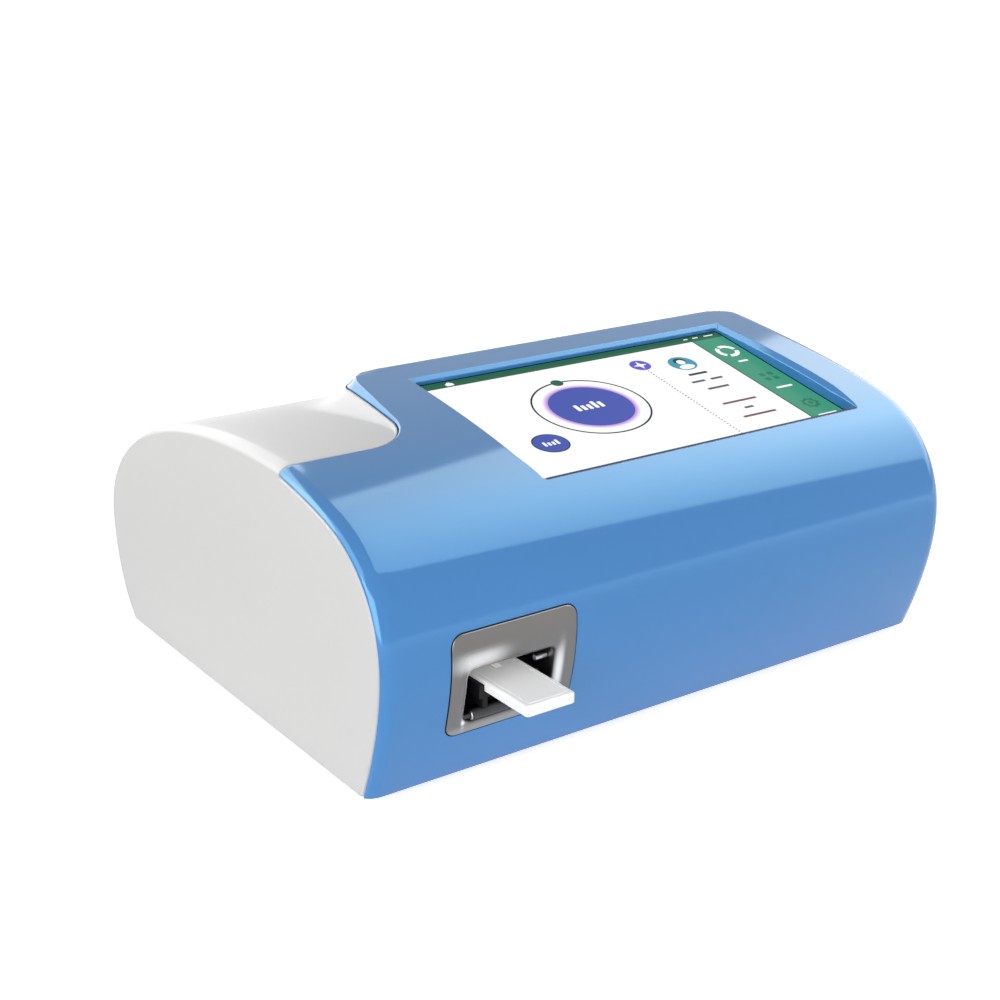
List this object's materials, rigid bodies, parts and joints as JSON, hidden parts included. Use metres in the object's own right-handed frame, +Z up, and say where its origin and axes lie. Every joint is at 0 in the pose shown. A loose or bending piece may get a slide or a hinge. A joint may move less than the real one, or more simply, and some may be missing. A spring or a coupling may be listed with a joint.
{
  "type": "point-of-care analyzer",
  "caption": "Desktop test-cassette reader: rounded two-tone housing with a raised tilted touch display, a framed card slot in front and a connector bay at the rear.",
  "frame": {"origin": "centre of the bounding box at the underside of the feet", "axes": "+Z up, -Y towards the user, where the card slot is, +X to the user's right"},
  "size_m": [0.262, 0.2384, 0.1154],
  "materials": {
    "blue_shell": "moulded, light gloss",
    "white_shell": "moulded, light gloss",
    "grey_base": "fine texture",
    "rubber": "matt",
    "steel": "machined or rolled",
    "slot_metal": "satin, pressed",
    "sheet_aluminium": "satin sheet",
    "motor_metal": "drawn can",
    "brass": "turned",
    "display_glass": "polished",
    "display_panel": "panel in a black frame",
    "black_plastic": "fine texture",
    "cassette_plastic": "moulded",
    "test_strip": "paper-like membrane",
    "circuit_board": "green solder mask",
    "lens_glass": "polished",
    "ribbon": "flat cable"
  },
  "bodies": {
    "analyzer": {"front_cover": "blue_shell", "rear_casing": "white_shell", "base_plate": "grey_base", "rear_panel": "grey_base", "foot_1": "rubber", "foot_2": "rubber", "foot_3": "rubber", "foot_4": "rubber", "base_screw_1": "steel", "base_screw_2": "steel", "base_screw_3": "steel", "base_screw_4": "steel", "display_screw_1": "steel", "display_screw_2": "steel", "display_screw_3": "steel", "display_screw_4": "steel", "slot_stud": "steel", "guide_rod_1": "steel", "guide_rod_2": "steel", "display_bracket": "steel", "usb_port_1": "steel", "usb_port_2": "steel", "network_port": "steel", "serial_port": "steel", "slot_bezel": "slot_metal", "reader_frame": "sheet_aluminium", "head_bridge": "sheet_aluminium", "drive_motor": "motor_metal", "display_glass": "display_glass", "lcd_module": "display_panel", "optical_head": "black_plastic", "position_sensor": "black_plastic", "power_inlet": "black_plastic", "switch_housing": "black_plastic", "speaker": "black_plastic", "main_board": "circuit_board", "power_board": "circuit_board", "detector_board": "circuit_board", "head_lens": "lens_glass", "display_cable": "ribbon"},
    "tray": {"card_tray": "black_plastic", "drive_nut": "brass"},
    "cassette": {"cassette_base": "cassette_plastic", "cassette_cover": "cassette_plastic", "test_strip": "test_strip"},
    "screw": {"lead_screw": "steel"},
    "roller": {"slot_roller": "black_plastic"},
    "rocker": {"power_rocker": "black_plastic"}
  },
  "joints": [
    {"name": "carriage_travel", "type": "slide", "parent": "analyzer", "child": "tray", "axis": [0, 1, 0], "range_m": [0, 0.045]},
    {"name": "cassette_removal", "type": "slide", "parent": "tray", "child": "cassette", "axis": [0, -1, 0], "range_m": [0, 0.052]},
    {"name": "lead_screw_spin", "type": "hinge", "parent": "analyzer", "child": "screw", "pos_m": [-0.0791, -0.0838, 0.024], "axis": [0, 1, 0], "range_deg": [0, 1620]},
    {"name": "slot_roller_spin", "type": "hinge", "parent": "analyzer", "child": "roller", "pos_m": [-0.0791, -0.0936, 0.0277], "axis": [-1, 0, 0], "range_deg": [0, 1395]},
    {"name": "power_rocker_tilt", "type": "hinge", "parent": "analyzer", "child": "rocker", "pos_m": [-0.01895, 0.1022, 0.031], "axis": [1, 0, 0], "range_deg": [-18, 0]}
  ],
  "couplings": [
    {"joint": "lead_screw_spin", "follows": "carriage_travel", "rad_per_m": 628.32},
    {"joint": "slot_roller_spin", "follows": "carriage_travel", "rad_per_m": 540.54}
  ]
}
